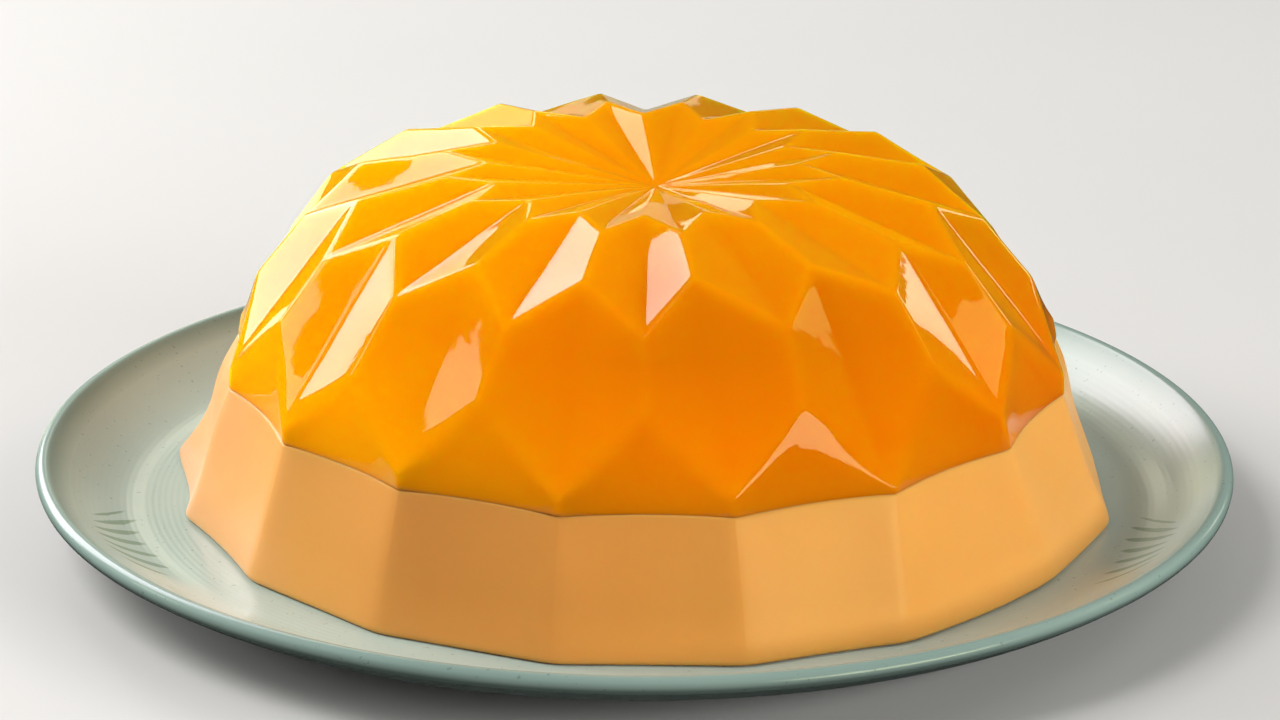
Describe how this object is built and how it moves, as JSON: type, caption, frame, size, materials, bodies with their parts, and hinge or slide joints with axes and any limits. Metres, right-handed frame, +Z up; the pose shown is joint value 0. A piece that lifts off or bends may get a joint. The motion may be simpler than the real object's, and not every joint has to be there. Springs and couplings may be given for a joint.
{
  "type": "moulded jelly",
  "caption": "Round fluted dome of jelly turned out of a mould, with a cream layer below clear orange jelly, on its shallow round plate.",
  "frame": {"origin": "centre of the plate's foot ring, on the surface the plate stands on", "axes": "+Z up, +Y away from the viewer, +X to the viewer's right"},
  "size_m": [0.2688, 0.2688, 0.0853],
  "materials": {
    "plate": "pale grey-green glaze, glossy",
    "cream": "opaque set cream jelly, moist satin",
    "jelly": "clear orange jelly, wet gloss"
  },
  "bodies": {
    "root": {"plate": "plate", "cream_layer": "cream", "orange_jelly": "jelly"}
  },
  "joints": []
}
